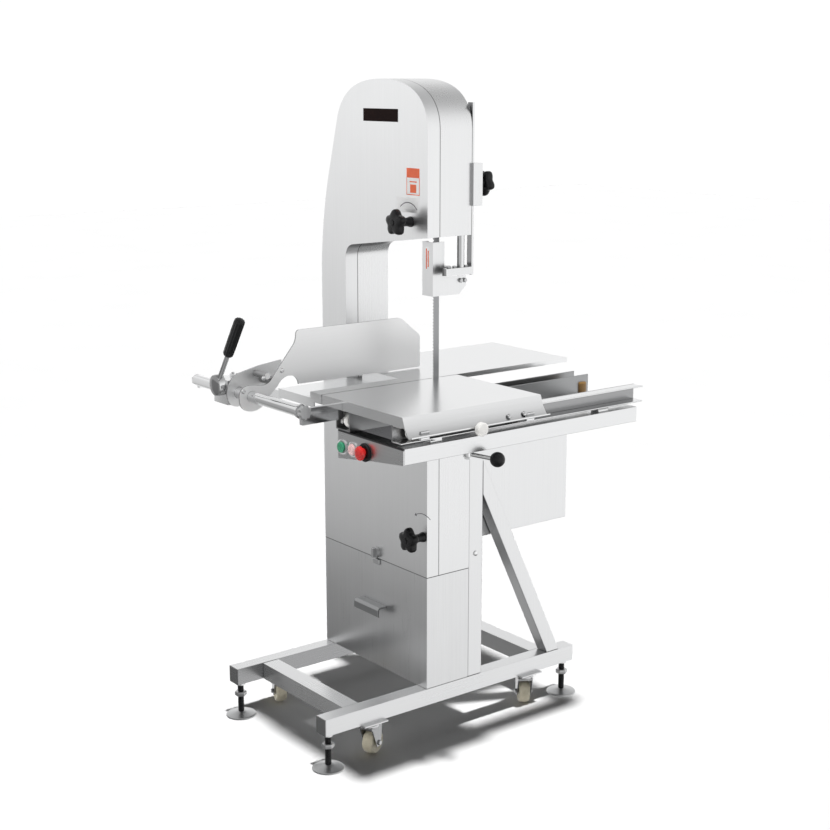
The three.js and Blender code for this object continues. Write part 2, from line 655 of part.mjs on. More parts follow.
// ---- Fence ------------------------------------------------------------------------------------------------------
function addFence() {
  const { x, thickness, bottom, rodY: y, rodZ: z, rodRadius } = fence;
  const rodLeft = -452;
  const rodRight = 20;
  const rod = rodX(rodLeft, rodRight, y, z, rodRadius);
  const endCaps = [[rodLeft - 6, rodLeft + 2], [rodRight - 2, rodRight + 14]]
    .map(([from, to]) => rodX(from, to, y, z, rodRadius + 1, 6));
  const arm = box(rodRight - 6, rodRight + 6, y, table.front - GAP, 902, z + 6);
  const rightArm = join(arm, box(rodRight - 6, rodRight + 6, y + 90, frame.front - GAP, 902, 920));
  const leftArm = box(rodLeft - 2, rodLeft + 10, y, -262, z - 20, z + 2);
  const crossArm = box(rodLeft - 2, -262 - GAP, -264, -254, z - 34, z - 12);
  add('fence_rod', join(rod, ...endCaps, rightArm, leftArm, crossArm), 'polished');

  const outline = new THREE.Shape();
  outline.moveTo(-252, bottom);
  outline.quadraticCurveTo(-256, 972, -278, 973);
  outline.quadraticCurveTo(-300, 972, -312, 952);
  outline.lineTo(-336, 930);
  outline.quadraticCurveTo(-356, 898, y, 898);
  outline.quadraticCurveTo(-421, 898, -421, z);
  outline.quadraticCurveTo(-421, 962, -392, 962);
  outline.lineTo(-356, 958);
  outline.quadraticCurveTo(-338, 958, -328, 972);
  outline.lineTo(-268, 1044);
  outline.quadraticCurveTo(-258, 1054, -257, 1072);
  outline.quadraticCurveTo(-257, 1083, -246, 1083);
  outline.lineTo(54, 1083);
  outline.quadraticCurveTo(62, 1083, 68, 1078);
  outline.lineTo(118, 1038);
  outline.quadraticCurveTo(125, 1032, 125, 1024);
  outline.lineTo(125, bottom + 6);
  outline.quadraticCurveTo(125, bottom, 118, bottom);
  const clear = rodX(x - 100, x + 20, y, z, rodRadius + GAP);
  add('fence_plate', cut(plateX(outline, x - thickness, x), clear), 'brushed');

  const brace = new THREE.Shape();
  brace.moveTo(-330, 930);
  brace.quadraticCurveTo(-356, 900, y, 900);
  brace.quadraticCurveTo(-419, 900, -419, z);
  brace.quadraticCurveTo(-419, 970, y, 982);
  brace.lineTo(-330, 994);
  brace.lineTo(-262, 1002);
  brace.lineTo(-262, 985);
  const link1 = rodX(-252, x - thickness - GAP, -338, 978, 8, SMALL_ROUND);
  const link2 = rodX(-252, x - thickness - GAP, -318, 962, 11, SMALL_ROUND);
  add('fence_arm', cut(join(plateX(brace, -254, -250), link1, link2), clear), 'brushed');

  const block = box(-322, -256, -414, -352, 905, 966);
  const split = box(-323, -255, -415, y, z - 1, z + 1);
  const screwBore = rodY(-415, -404, lever.x, z + 18, 6.3, SMALL_ROUND);
  const rodBore = rodX(-330, -250, y, z, rodRadius + GAP);
  add('fence_carriage', cut(block, rodBore, split, screwBore), 'cast');
}

function addClampLever() {
  const { x, z } = lever;
  const hub = rodY(-436, -414 - GAP, x, z, 26);
  const stud = rodY(-420, -405, x, z, 6, SMALL_ROUND);
  const reach = [0.55, 0.835];
  const at = (r) => [x + reach[0] * r, -425, z + reach[1] * r];
  const shaft = bar(at(20), at(110), 6);
  const grip = bar(at(100), at(208), 13.5, ROUND);
  add('fence_clamp_lever', join(hub, stud, shaft, grip), 'blackPlastic');
}

// ---- Casters and levelling feet ---------------------------------------------------------------------------------
function addCasters() {
  const { frontY, rearY, wheelRadius, wheelWidth, wheelZ, trail } = casters;
  const xs = { left: column.left + base.railWidth / 2, right: column.right - base.railWidth / 2 };
  const half = wheelWidth / 2;
  for (const [side, x] of Object.entries(xs)) {
    for (const [end, y] of Object.entries({ front: frontY, rear: rearY })) {
      const turn = (shape) => shape.rotate([0, 0, casterTurns[`${end}_${side}`]]).translate([x, y, 0]);
      const race = rodZ(86, base.bottom - 3.5 - GAP, 0, 0, 22);
      const crown = box(-half - 5, half + 5, -20, trail + 14, 82, 88);
      const cheek = points2([
        [-18, 86],
        [trail - 9, wheelZ - 9],
        [trail + 9, wheelZ - 9],
        [trail + 14, 86],
      ]);
      const cheeks = [-half - 5, half + 1.5].map((from) => plateX(cheek, from, from + 3.5));
      const axle = rodX(-half - 7, half + 7, trail, wheelZ, 4, SMALL_ROUND);
      add(`caster_fork_${end}_${side}`, turn(join(race, crown, ...cheeks, axle)), 'darkSteel');
      const tread = rodX(-half, half, trail, wheelZ, wheelRadius);
      const bore = rodX(-half - 1, half + 1, trail, wheelZ, 4.3, SMALL_ROUND);
      add(`caster_wheel_${end}_${side}`, turn(cut(tread, bore)), 'nylon');
    }
  }
}

function addFeet() {
  const { x, front, rear, padRadius, floor } = footing;
  const dish = [
    [0, floor],
    [padRadius, floor],
    [padRadius, floor + 4],
    [padRadius - 6, floor + 6],
    [14, floor + 12],
    [0, floor + 12],
  ];
  for (const [side, px] of Object.entries({ left: column.left + x, right: column.right - x })) {
    for (const [end, y] of Object.entries({ front, rear })) {
      const pad = turned(dish, px, y);
      const stud = rodZ(floor + 10, base.bottom + 18, px, y, 8, SMALL_ROUND);
      const nut = rodZ(64, 76, px, y, 16, 6);
      add(`foot_${end}_${side}`, join(pad, stud, nut), 'darkSteel');
    }
  }
}

addBase();
addPosts();
addColumn();
addKnobs();
addBin();
addSaw();
addMotor();
addGuard();
addLockKnob();
addFrame();
addButtons();
addRails();
addTables();
addRollers();
addTableLever();
addFence();
addClampLever();
addCasters();
addFeet();

// The origin lies on the floor under the middle of the whole machine.
const extent = new THREE.Box3().setFromObject(part);
const middle = extent.getCenter(new THREE.Vector3());
part.position.set(-middle.x, -middle.y, -extent.min.z);

export default part;
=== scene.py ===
"""Looks for a floor-standing bone saw: brushed steel, black knobs, nylon casters, soft studio light."""
import json
import math

import bmesh
import bpy
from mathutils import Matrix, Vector


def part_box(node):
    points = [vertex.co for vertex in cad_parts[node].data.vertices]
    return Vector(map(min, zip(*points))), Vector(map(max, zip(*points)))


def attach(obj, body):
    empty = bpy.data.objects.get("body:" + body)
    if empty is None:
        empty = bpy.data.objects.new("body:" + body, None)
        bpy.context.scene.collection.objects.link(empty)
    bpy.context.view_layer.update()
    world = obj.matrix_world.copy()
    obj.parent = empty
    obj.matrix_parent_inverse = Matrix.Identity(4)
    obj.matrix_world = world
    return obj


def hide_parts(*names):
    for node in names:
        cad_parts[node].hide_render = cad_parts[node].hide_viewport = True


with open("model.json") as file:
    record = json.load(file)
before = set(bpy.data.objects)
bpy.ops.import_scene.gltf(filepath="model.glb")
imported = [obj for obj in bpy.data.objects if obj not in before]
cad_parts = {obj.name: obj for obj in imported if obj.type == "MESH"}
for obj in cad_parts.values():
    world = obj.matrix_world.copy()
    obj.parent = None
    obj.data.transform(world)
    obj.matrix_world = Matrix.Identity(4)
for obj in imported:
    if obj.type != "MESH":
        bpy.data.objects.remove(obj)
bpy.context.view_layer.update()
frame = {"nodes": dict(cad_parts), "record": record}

MM = 0.001
ROUND = 64
UP = Vector((0, 0, 1))
RIGHT = Vector((1, 0, 0))
BACK = Vector((0, 1, 0))
FRONT = -BACK
BIN_FLOOR = 147.5
bin_low, bin_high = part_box("waste_bin")


def at(x, y, z):
    """A point x mm right of and y mm behind the waste bin's front right edge, its floor being at BIN_FLOOR."""
    return Vector((bin_high.x + x * MM, bin_low.y + y * MM, bin_low.z + (z - BIN_FLOOR) * MM))


def centre(node):
    low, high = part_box(node)
    return (low + high) / 2


def mesh_of(name, shape):
    """Turns a bmesh into a mesh, and frees it."""
    mesh = bpy.data.meshes.new(name)
    shape.to_mesh(mesh)
    shape.free()
    return mesh


def placed(name, data):
    """Makes an object for a mesh, lamp or camera, and links it to the scene."""
    made = bpy.data.objects.new(name, data)
    bpy.context.scene.collection.objects.link(made)
    return made


def ranged(tree, source, start, end, low, high, smooth=False):
    """Maps source from start..end to low..high."""
    node = tree.nodes.new("ShaderNodeMapRange")
    if smooth:
        node.interpolation_type = "SMOOTHSTEP"
    for socket, value in zip(("From Min", "From Max", "To Min", "To Max"), (start, end, low, high)):
        node.inputs[socket].default_value = value
    tree.links.new(source, node.inputs["Value"])
    return node.outputs["Result"]


def combined(tree, operation, a, b):
    node = tree.nodes.new("ShaderNodeMath")
    node.operation = operation
    tree.links.new(a, node.inputs[0])
    tree.links.new(b, node.inputs[1])
    return node.outputs[0]


# ---- Materials -----------------------------------------------------------------------------------
class Surface:
    """A Principled material whose colour, roughness and bump come from object-space noise."""

    def __init__(self, name, roughness, metallic=0.0, **uniform):
        self.material = bpy.data.materials.new(name)
        self.material.use_nodes = True
        self.tree = self.material.node_tree
        self.shader = self.tree.nodes["Principled BSDF"]
        self.shader.inputs["Metallic"].default_value = metallic
        self.shader.inputs["Roughness"].default_value = roughness
        for socket, value in uniform.items():
            self.shader.inputs[socket.replace("_", " ")].default_value = value
        self.place = self.node("ShaderNodeTexCoord").outputs["Object"]

    def node(self, kind, **settings):
        made = self.tree.nodes.new(kind)
        for key, value in settings.items():
            setattr(made, key, value)
        return made

    def link(self, source, target):
        self.tree.links.new(source, target)

    def noise(self, stretch, detail=3.0, rough=0.55):
        """Noise with `stretch` cells per metre along X, Y and Z."""
        mapping = self.node("ShaderNodeMapping")
        mapping.inputs["Scale"].default_value = stretch
        self.link(self.place, mapping.inputs["Vector"])
        noise = self.node("ShaderNodeTexNoise")
        noise.inputs["Scale"].default_value = 1.0
        noise.inputs["Detail"].default_value = detail
        noise.inputs["Roughness"].default_value = rough
        self.link(mapping.outputs["Vector"], noise.inputs["Vector"])
        return noise.outputs["Fac"]

    def between(self, source, low, high, start=0.3, end=0.7):
        """Maps noise to low..high; noise seldom leaves start..end."""
        return ranged(self.tree, source, start, end, low, high)

    def mixed(self, a, b, share):
        mix = self.node("ShaderNodeMix")
        for socket, source in ((2, a), (3, b)):
            self.link(source, mix.inputs[socket])
        mix.inputs[0].default_value = share
        return mix.outputs[0]

    def colour(self, factor, dark, light):
        ramp = self.node("ShaderNodeValToRGB")
        ramp.color_ramp.elements[0].position = 0.32
        ramp.color_ramp.elements[1].position = 0.68
        ramp.color_ramp.elements[0].color = (*dark, 1)
        ramp.color_ramp.elements[1].color = (*light, 1)
        self.link(factor, ramp.inputs["Fac"])
        self.link(ramp.outputs["Color"], self.shader.inputs["Base Color"])

    def darken_plane(self, axis, place, width, strength=0.72):
        """Darkens the colour close to the plane where the coordinate `axis` equals `place`, as painted shade."""
        split = self.node("ShaderNodeSeparateXYZ")
        self.link(self.place, split.inputs["Vector"])
        away = self.node("ShaderNodeMath", operation="SUBTRACT")
        away.inputs[1].default_value = place
        self.link(split.outputs[axis], away.inputs[0])
        distance = self.node("ShaderNodeMath", operation="ABSOLUTE")
        self.link(away.outputs[0], distance.inputs[0])
        self.darken(distance.outputs[0], width * 0.4, width, strength)

    def darken_sides_as_shade(self, axis, strength=0.6):
        """Darkens the faces that don't look along `axis`: painted shade on a plate's edges and a bar's sides."""
        split = self.node("ShaderNodeSeparateXYZ")
        self.link(self.node("ShaderNodeTexCoord").outputs["Normal"], split.inputs["Vector"])
        facing = self.node("ShaderNodeMath", operation="ABSOLUTE")
        self.link(split.outputs[axis], facing.inputs[0])
        self.darken(facing.outputs[0], 0.3, 0.7, strength)

    def darken(self, source, start, end, strength):
        """Mixes near-black into the colour as painted shade: `strength` of it where source is below start, none
        above end.
        """
        shade = ranged(self.tree, source, start, end, strength, 0.0, smooth=True)
        mix = self.node("ShaderNodeMix", data_type="RGBA")
        mix.inputs[7].default_value = (0.05, 0.05, 0.055, 1)
        base = self.shader.inputs["Base Color"]
        self.link(base.links[0].from_socket, mix.inputs[6])
        self.link(shade, mix.inputs[0])
        self.link(mix.outputs[2], base)

    def rough(self, source):
        self.link(source, self.shader.inputs["Roughness"])

    def bump(self, source, strength, depth):
        bump = self.node("ShaderNodeBump")
        bump.inputs["Strength"].default_value = strength
        bump.inputs["Distance"].default_value = depth
        self.link(source, bump.inputs["Height"])
        self.link(bump.outputs["Normal"], self.shader.inputs["Normal"])


def steel(name, grain, tone, roughness, contrast=0.035, line=0.06, smudge=0.05, seams=(), painted_shades=(),
          side_shade_axis=None):
    """Brushed stainless steel: `grain` is the axis of its brush lines and `tone` its base brightness.

    seams is a list of (axis, place in metres, width in metres): planes where painted shade darkens the gap at a
    joint.
    The painted shades are (axis, place, width, strength): flat faces that stand in the dark of a corner,
    darkened in their colour.
    The side shade axis is the axis across a flat plate or bar: the faces that don't look along it are darkened
    as painted shade."""
    surface = Surface(name, roughness, metallic=1.0)
    fine_scale = [900.0, 900.0, 900.0]
    streak_scale = [260.0, 260.0, 260.0]
    fine_scale[grain] = 6.0
    streak_scale[grain] = 2.4
    fine = surface.noise(fine_scale, detail=2.0)
    streak = surface.noise(streak_scale, detail=3.0)
    cloud = surface.noise((3.2, 3.2, 2.4), detail=4.0, rough=0.6)
    grainy = surface.mixed(fine, streak, 0.5)
    pattern = surface.mixed(grainy, cloud, 0.45)
    dark = [channel * (1 - contrast) for channel in tone]
    light = [min(1.0, channel * (1 + contrast)) for channel in tone]
    surface.colour(pattern, dark, light)
    worn = surface.mixed(surface.between(grainy, roughness - line * 0.5, roughness + line * 0.5),
                         surface.between(cloud, roughness - smudge, roughness + smudge), 0.5)
    surface.rough(worn)
    surface.bump(grainy, line, 0.0001)
    # Painted shade: a dark line where the gap at a joint lies in shade.
    for axis, place, width in seams:
        surface.darken_plane(axis, place, width)
    # Painted shade on flat faces that stand in the dark of a corner.
    for axis, place, width, strength in painted_shades:
        surface.darken_plane(axis, place, width, strength)
    # Painted shade on the faces that don't look along the given axis.
    if side_shade_axis is not None:
        surface.darken_sides_as_shade(side_shade_axis)
    return surface.material


def plastic(name, dark, light, roughness, grain=900.0, relief=0.25, **uniform):
    """Moulded plastic with a fine pebble and faint tone changes."""
    surface = Surface(name, roughness, **uniform)
    pebble = surface.noise((grain, grain, grain), detail=2.0)
    cloud = surface.noise((28.0, 28.0, 28.0), detail=4.0)
    surface.colour(surface.mixed(pebble, cloud, 0.6), dark, light)
    surface.rough(surface.between(cloud, roughness - 0.08, roughness + 0.1))
    surface.bump(pebble, relief, 0.00015)
    return surface.material


PALE_TONE = (0.86, 0.865, 0.87)
STEEL_TONE = (0.84, 0.845, 0.85)
MID_TONE = (0.80, 0.805, 0.81)
# Tone of the steel copy that carries painted shade.
SHADE_TONE = (0.38, 0.385, 0.39)
# Width of the painted shade along a joint's gap, in metres.
SEAM_SHADE = 0.0016
casing_front = at(0, 38, 0).y
bin_top = bin_high.z
steel_up = steel("steel_brushed_up", 2, STEEL_TONE, 0.30)
# Painted shade along the door's joints with the casing and with the bin, where the gaps between the sheets lie
# in shade.
door_seam_shades = [(1, casing_front, SEAM_SHADE), (2, bin_top, SEAM_SHADE)]
steel_casing = steel("steel_casing", 2, STEEL_TONE, 0.28, seams=door_seam_shades)
steel_door = steel("steel_door", 2, PALE_TONE, 0.32, seams=door_seam_shades)
steel_along_y = steel("steel_brushed_back", 1, STEEL_TONE, 0.26)
# Painted shade in these steels' colour: the front ends of the base tubes and a side of the left base rail, the
# side of the left frame rail that looks right, and the web of the right table rail.
steel_base = steel("steel_base", 1, STEEL_TONE, 0.28, painted_shades=[(1, at(0, -316, 0).y, 0.003, 0.62),
                                                             (0, at(-412, 0, 0).x, 0.003, 0.55)])
steel_left_frame = steel("steel_left_frame", 1, STEEL_TONE, 0.28,
                         painted_shades=[(0, at(41, 0, 0).x, 0.004, 0.90)])
steel_c_rail = steel("steel_c_rail", 1, PALE_TONE, 0.24, contrast=0.03, line=0.04,
                     painted_shades=[(0, at(215, 0, 0).x, 0.004, 0.60)])
steel_along_x = steel("steel_brushed_across", 0, STEEL_TONE, 0.28)
steel_table = steel("steel_table", 1, PALE_TONE, 0.22, contrast=0.03, line=0.04, smudge=0.04)
# The bin's top edge gets the same painted shade of the gap under the door.
steel_bin = steel("steel_bin", 2, MID_TONE, 0.30, contrast=0.07, line=0.1, seams=[(2, bin_top, SEAM_SHADE)])
# Painted shade on the panel: its colour is darkened near the level of 871.5 mm, where a face stands in the dark.
steel_panel = steel("steel_panel", 0, (0.74, 0.745, 0.75), 0.28, contrast=0.08,
                    painted_shades=[(2, at(0, 0, 871.5).z, 0.0035, 0.93)])
# The fence's plate and arm get painted shade on their edges.
steel_fence = steel("steel_fence", 1, (0.95, 0.953, 0.955), 0.40, contrast=0.02, line=0.04, side_shade_axis=0)
# A darker copy of the brushed steel: painted shade for the left table rail and the bin handle, which stand in
# shadow.
steel_dark = steel("steel_dark", 1, SHADE_TONE, 0.34)
bright = steel("steel_polished", 0, (0.90, 0.905, 0.91), 0.10, contrast=0.03, line=0.04, smudge=0.03)
# Painted shade on the faces of the guide bar and the clamp hub that don't look along X.
bright_up = steel("steel_polished_up", 2, MID_TONE, 0.10, contrast=0.03, line=0.04, smudge=0.03, side_shade_axis=0)
carriage_steel = steel("carriage_steel", 2, STEEL_TONE, 0.2, contrast=0.03)
fork_steel = steel("fork_zinc", 2, (0.42, 0.425, 0.43), 0.2, contrast=0.1)
cast = steel("cast_wheel_metal", 0, (0.55, 0.555, 0.56), 0.5, contrast=0.15, line=0.3, smudge=0.12)
blade_steel = steel("blade_band", 2, (0.36, 0.365, 0.375), 0.30, contrast=0.12)
foot_steel = steel("foot_turned", 2, (0.60, 0.605, 0.61), 0.34, contrast=0.1)
black = plastic("black_moulded", (0.003, 0.003, 0.0035), (0.010, 0.010, 0.011), 0.30, Specular_IOR_Level=0.32)
black_thread = plastic("blackened_thread", (0.004, 0.004, 0.005), (0.016, 0.016, 0.018), 0.3)
cream = plastic("cream_nylon", (0.60, 0.545, 0.40), (0.80, 0.75, 0.60), 0.38, grain=300.0)
pale_nylon = plastic("pale_nylon", (0.78, 0.77, 0.74), (0.90, 0.89, 0.87), 0.35, grain=300.0)
motor_paint = plastic("motor_paint", (0.12, 0.14, 0.16), (0.19, 0.21, 0.23), 0.5)
green = plastic("green_button", (0.02, 0.22, 0.11), (0.05, 0.36, 0.19), 0.28, Coat_Weight=0.4)
red = plastic("red_button", (0.42, 0.008, 0.008), (0.62, 0.02, 0.018), 0.28, Coat_Weight=0.4)
pale_lens = plastic("pale_lens", (0.62, 0.36, 0.36), (0.80, 0.55, 0.54), 0.25, Coat_Weight=0.4)
amber = plastic("amber_buffer", (0.20, 0.11, 0.035), (0.34, 0.20, 0.07), 0.42)
card = plastic("white_card", (0.80, 0.80, 0.80), (0.92, 0.92, 0.92), 0.4, relief=0.05)
orange = plastic("orange_print", (0.70, 0.10, 0.035), (0.85, 0.17, 0.06), 0.42, relief=0.05)
badge = plastic("dark_badge", (0.008, 0.004, 0.004), (0.018, 0.010, 0.009), 0.5, relief=0.05,
                Specular_IOR_Level=0.03)
ink = plastic("grey_print", (0.10, 0.10, 0.11), (0.20, 0.20, 0.21), 0.45, relief=0.05)

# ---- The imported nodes: finish, welded seams and softened edges -----------------------------------
SHEET_EDGE = 0.0012
TABLE_EDGE = 0.0008
TUBE_EDGE = 0.0025


def dress(node, material, edge=0.0):
    """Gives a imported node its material, and rounds the light on its edges with modifiers only."""
    piece = frame["nodes"][node]
    for slot in piece.material_slots:
        slot.material = material
    if "custom_normal" in piece.data.attributes:
        piece.data.attributes.remove(piece.data.attributes["custom_normal"])
    piece.data.polygons.foreach_set("use_smooth", [True] * len(piece.data.polygons))
    weld = piece.modifiers.new("weld", "WELD")
    weld.merge_threshold = 0.00001
    if edge:
        bevel = piece.modifiers.new("edge", "BEVEL")
        bevel.width = edge
        bevel.segments = 2
        bevel.limit_method = "ANGLE"
        bevel.angle_limit = math.radians(40)
        bevel.harden_normals = True
    else:
        split = piece.modifiers.new("split", "EDGE_SPLIT")
        split.split_angle = math.radians(32)


dress("column_casing", steel_casing, SHEET_EDGE)
dress("front_door", steel_door, SHEET_EDGE)
dress("waste_bin", steel_bin, SHEET_EDGE)
# The bin handle wears the darker steel as painted shade.
dress("bin_handle", steel_dark, SHEET_EDGE)
dress("bin_latch", foot_steel)
dress("motor_housing", steel_up, SHEET_EDGE)
dress("motor", motor_paint)
for node in ("base_rail_left", "base_rail_right"):
    dress(node, steel_base, TUBE_EDGE)
for node in ("base_cross_front", "base_cross_rear"):
    dress(node, steel_along_x, TUBE_EDGE)
for node in ("post_left", "post_right", "brace_left", "brace_right"):
    dress(node, steel_up, TUBE_EDGE)
for node in ("table_beam", "frame_rail_rear"):
    dress(node, steel_along_x)
dress("frame_rail_left", steel_left_frame, SHEET_EDGE)
dress("frame_rail_right", steel_along_y, SHEET_EDGE)
dress("control_panel", steel_panel)
# The left table rail wears the darker steel as painted shade.
dress("table_rail_left", steel_dark, SHEET_EDGE)
dress("table_rail_right", steel_c_rail, SHEET_EDGE)
for node in ("sliding_table", "fixed_table"):
    dress(node, steel_table, TABLE_EDGE)
for node in ("fence_plate", "fence_arm"):
    dress(node, steel_fence)
dress("fence_carriage", carriage_steel, SHEET_EDGE)
dress("fence_rod", bright)
dress("blade_guard", steel_up)
dress("guide_bar", bright_up)
for node in ("upper_wheel", "lower_wheel", "wheel_carriage", "drive_shaft"):
    dress(node, cast)
dress("tension_knob", black)
for side in ("left", "right"):
    for end in ("front", "rear"):
        dress(f"caster_fork_{end}_{side}", fork_steel)


# ---- Mesh helpers --------------------------------------------------------------------------------
def finished(name, shape, material, body, sharp=35, bevel=0.0):
    """Turns a bmesh in the row frame into an object that rides on a body."""
    bmesh.ops.recalc_face_normals(shape, faces=shape.faces)
    mesh = mesh_of(name, shape)
    piece = placed(name, mesh)
    mesh.materials.append(material)
    mesh.polygons.foreach_set("use_smooth", [True] * len(mesh.polygons))
    mesh.set_sharp_from_angle(angle=math.radians(sharp))
    if bevel:
        edge = piece.modifiers.new("edge", "BEVEL")
        edge.width = bevel
        edge.segments = 3
        edge.limit_method = "ANGLE"
        edge.angle_limit = math.radians(30)
    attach(piece, body)
    return piece


def turn_to(axis):
    """The rotation that takes +Z to `axis`."""
    return UP.rotation_difference(axis).to_matrix()


def loft(shape, rings):
    """Joins rings of equal length into a skin; a ring of one vertex closes an end."""
    for lower, upper in zip(rings, rings[1:]):
        count = max(len(lower), len(upper))
        for i in range(count):
            j = (i + 1) % count
            if len(lower) == 1:
                shape.faces.new((lower[0], upper[i], upper[j]))
            elif len(upper) == 1:
                shape.faces.new((lower[i], lower[j], upper[0]))
            else:
                shape.faces.new((lower[i], lower[j], upper[j], upper[i]))


def add_turned(shape, profile, origin, axis, sides=ROUND, lobes=None):
    """Adds a closed solid of revolution; profile is [(radius, height)] in mm and starts and ends at radius 0.

    lobes is (count, depth, start): the share of the radius that swells and shrinks round the axis."""
    turn = turn_to(axis)
    rings = []
    for radius, height in profile:
        if radius == 0:
            rings.append([shape.verts.new(origin + turn @ Vector((0, 0, height * MM)))])
            continue
        loop = []
        for i in range(sides):
            angle = 2 * math.pi * i / sides
            swell = 1.0
            if lobes:
                count, depth, start = lobes
                swell = 1 - depth / 2 + depth / 2 * math.cos(count * (angle - start))
            reach = radius * swell * MM
            spot = Vector((reach * math.cos(angle), reach * math.sin(angle), height * MM))
            loop.append(shape.verts.new(origin + turn @ spot))
        rings.append(loop)
    loft(shape, rings)


def turned(name, profile, origin, axis, material, body, sides=ROUND, lobes=None, sharp=35):
    shape = bmesh.new()
    add_turned(shape, profile, origin, axis, sides, lobes)
    return finished(name, shape, material, body, sharp)


def ring(name, profile, origin, axis, material, body):
    """A closed ring whose profile comes back to its first point."""
    shape = bmesh.new()
    turn = turn_to(axis)
    rings = []
    for radius, height in profile[:-1]:
        loop = []
        for i in range(ROUND):
            angle = 2 * math.pi * i / ROUND
            spot = Vector((radius * math.cos(angle) * MM, radius * math.sin(angle) * MM, height * MM))
            loop.append(shape.verts.new(origin + turn @ spot))
        rings.append(loop)
    loft(shape, rings + [rings[0]])
    return finished(name, shape, material, body)


def rounded(radius, low, high, edge):
    """The profile of a plain round disc or rod with softened rims, all in mm."""
    turns = (0, math.pi / 8, math.pi / 4, 3 * math.pi / 8, math.pi / 2)
    steps = [(math.sin(t), 1 - math.cos(t)) for t in turns]
    start = [(radius - edge + edge * s, low + edge * c) for s, c in steps]
    end = [(radius - edge + edge * s, high - edge * c) for s, c in reversed(steps)]
    return [(0, low), *start, *end, (0, high)]


def add_block(shape, low, high):
    made = bmesh.ops.create_cube(shape, size=1.0)["verts"]
    bmesh.ops.scale(shape, vec=high - low, verts=made)
    bmesh.ops.translate(shape, vec=(low + high) / 2, verts=made)


def block(name, low, high, material, body, bevel=0.0008):
    shape = bmesh.new()
    add_block(shape, low, high)
    return finished(name, shape, material, body, bevel=bevel)


def add_hex(shape, origin, axis, across, height):
    """A hexagon head or nut with chamfered corners, `across` mm over its corners."""
    half = across / 2
    chamfer = height * 0.15
    profile = [(0, 0), (half * 0.94, 0), (half, chamfer), (half, height - chamfer), (half * 0.9, height),
               (0, height)]
    add_turned(shape, profile, origin, axis, sides=6)


# ---- Star knobs ----------------------------------------------------------------------------------
KNOB_DEPTH = 24


def star_knob(node, body, outward, seat, x, z):
    """A five-lobed knob on a flared neck, its axis along Y through (x, z).

    outward is -1 for a knob that looks forward and 1 for one that looks back.
    The neck meets the plane y = seat."""
    low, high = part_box(node)
    middle = at(x, 0, z)
    middle.y = high.y if outward > 0 else low.y
    axis = BACK * outward
    shape = bmesh.new()
    top = middle - axis * KNOB_DEPTH * MM
    grip = [(0, 0), (20, 0), (28, 1.2), (31.5, 3.5), (33, 7), (33, 15), (31.5, 19), (27, 22.5),
            (18, KNOB_DEPTH), (0, 23.2)]
    add_turned(shape, grip, top, axis, sides=120, lobes=(5, 0.25, math.pi / 2))
    reach = abs(top.y - at(0, seat, 0).y) / MM
    neck = [(0, -reach), (13, -reach), (13, -reach + 3), (10.5, -reach * 0.7), (10.5, -reach * 0.35),
            (15, 1), (0, 1)]
    add_turned(shape, neck, top, axis)
    knob = finished(node + "_moulding", shape, black, body, sharp=50)
    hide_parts(node)
    turned(node + "_cap", rounded(8, 23, 25.5, 1.0), top, axis, black, body)


star_knob("upper_door_knob", "upper_knob", -1, 0, -66, 1340)
star_knob("lower_door_knob", "lower_knob", -1, 0, -16, 552)
star_knob("guide_lock_knob", "guard_lock", 1, 165, -11, 1430)

# ---- Badge, labels and printed dials on the door -------------------------------------------------
PRINT = 0.35
RAISED = PRINT * 1.6
ARC_LIFT = PRINT * 2


def label(name, x0, x1, z0, z1, material, body="door", face=0.0, lift=PRINT):
    """A thin plate laid on a face that looks forward, in mm."""
    block(name, at(x0, face - lift, z0), at(x1, face + 0.05, z1), material, body, bevel=0.0001)


def arc_band(name, x, z, radius, width, start, end, arrow=0.0):
    """An arc printed on the door round (x, z), in degrees from +X, and an arrow head if `arrow` isn't 0."""
    shape = bmesh.new()
    steps = 28
    front, rear = [], []
    for i in range(steps + 1):
        angle = math.radians(start + (end - start) * i / steps)
        for reach in (radius - width / 2, radius + width / 2):
            px, pz = x + reach * math.cos(angle), z + reach * math.sin(angle)
            front.append(shape.verts.new(at(px, -ARC_LIFT, pz)))
            rear.append(shape.verts.new(at(px, 0, pz)))
    for i in range(steps):
        a, b, c, d = 2 * i, 2 * i + 1, 2 * i + 3, 2 * i + 2
        shape.faces.new((front[a], front[b], front[c], front[d]))
        shape.faces.new((rear[d], rear[c], rear[b], rear[a]))
        shape.faces.new((front[a], front[d], rear[d], rear[a]))
        shape.faces.new((front[b], rear[b], rear[c], front[c]))
    for a, b in ((0, 1), (2 * steps + 1, 2 * steps)):
        shape.faces.new((front[a], rear[a], rear[b], front[b]))
    if arrow:
        angle = math.radians(end)
        out = Vector((math.cos(angle), 0, math.sin(angle)))
        along = Vector((-out.z, 0, out.x)) * (1 if end > start else -1)
        base = at(x, 0, z) + out * radius * MM
        corners = [base + out * arrow * MM, base - out * arrow * MM, base + along * arrow * 1.8 * MM]
        lifted = [corner - BACK * ARC_LIFT * MM for corner in corners]
        low = [shape.verts.new(corner) for corner in corners]
        high = [shape.verts.new(corner) for corner in lifted]
        shape.faces.new(low)
        shape.faces.new(high)
        for i in range(3):
            shape.faces.new((low[i], low[(i + 1) % 3], high[(i + 1) % 3], high[i]))
    finished(name, shape, ink, "door")


